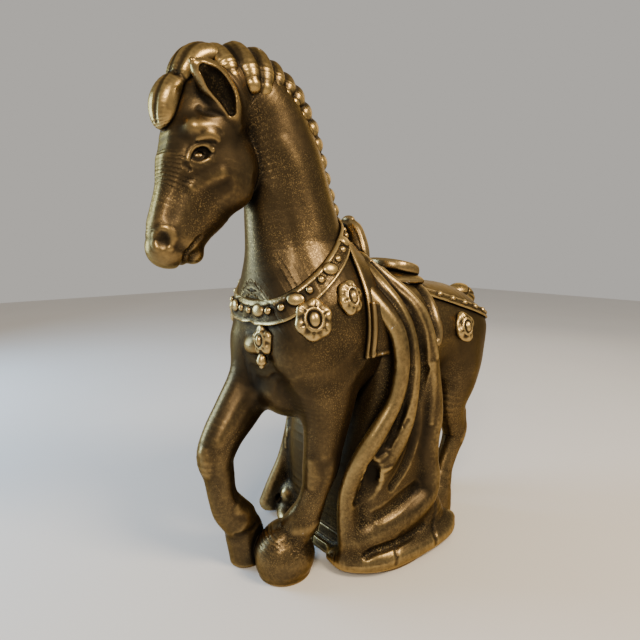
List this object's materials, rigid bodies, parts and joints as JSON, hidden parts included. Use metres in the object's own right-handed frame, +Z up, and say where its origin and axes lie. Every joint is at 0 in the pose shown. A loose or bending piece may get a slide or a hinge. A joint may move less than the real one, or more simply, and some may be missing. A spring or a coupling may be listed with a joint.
{
  "type": "parade horse statue",
  "caption": "Decorative standing horse statue with a saddle, long pleated drape, breast collar and crupper, one foreleg raised, in dark bronze rubbed with gold.",
  "frame": {"origin": "on the ground plane, on the underside of the base plate, in the horse's plane of symmetry", "axes": "the horse faces -Y, its left side is +X, +Z is up"},
  "size_m": [0.2721, 0.6535, 0.7059],
  "materials": {
    "bronze_body": "dark antique bronze patina, satin, gold rubbed over the high forms and fine gold speckle",
    "bronze_hair": "dark antique bronze patina with gold rubbed over each lock",
    "bronze_ornament": "gold rubbed over raised relief, near-black in the recesses",
    "bronze_saddle": "satin antique bronze",
    "bronze_drape": "antique bronze with gold along the ridges of the folds",
    "bronze_base": "dark bronze"
  },
  "bodies": {
    "root": {"barrel_shell": "bronze_body", "base_plate": "bronze_base", "breast_collar": "bronze_ornament", "chest_shell": "bronze_body", "collar_rosette_front": "bronze_ornament", "collar_rosette_left_1": "bronze_ornament", "collar_rosette_left_2": "bronze_ornament", "collar_rosette_right_1": "bronze_ornament", "collar_rosette_right_2": "bronze_ornament", "crupper_strap": "bronze_ornament", "drape_knot_left": "bronze_ornament", "drape_knot_right": "bronze_ornament", "drape_left": "bronze_drape", "drape_right": "bronze_drape", "forelock": "bronze_hair", "head_shell": "bronze_body", "hindquarters_shell": "bronze_body", "hip_pendant_left": "bronze_ornament", "hip_pendant_right": "bronze_ornament", "left_ear": "bronze_body", "left_foreleg": "bronze_body", "left_front_hoof": "bronze_body", "left_hind_hoof": "bronze_body", "left_hind_leg": "bronze_body", "mane": "bronze_hair", "neck_shell": "bronze_body", "right_ear": "bronze_body", "right_foreleg": "bronze_body", "right_front_hoof": "bronze_body", "right_hind_hoof": "bronze_body", "right_hind_leg": "bronze_body", "saddle_cantle": "bronze_saddle", "saddle_cloth": "bronze_saddle", "saddle_flap_left": "bronze_saddle", "saddle_flap_right": "bronze_saddle", "saddle_pommel": "bronze_saddle", "saddle_seat": "bronze_saddle", "tail": "bronze_hair", "tail_knot": "bronze_hair"}
  },
  "joints": []
}
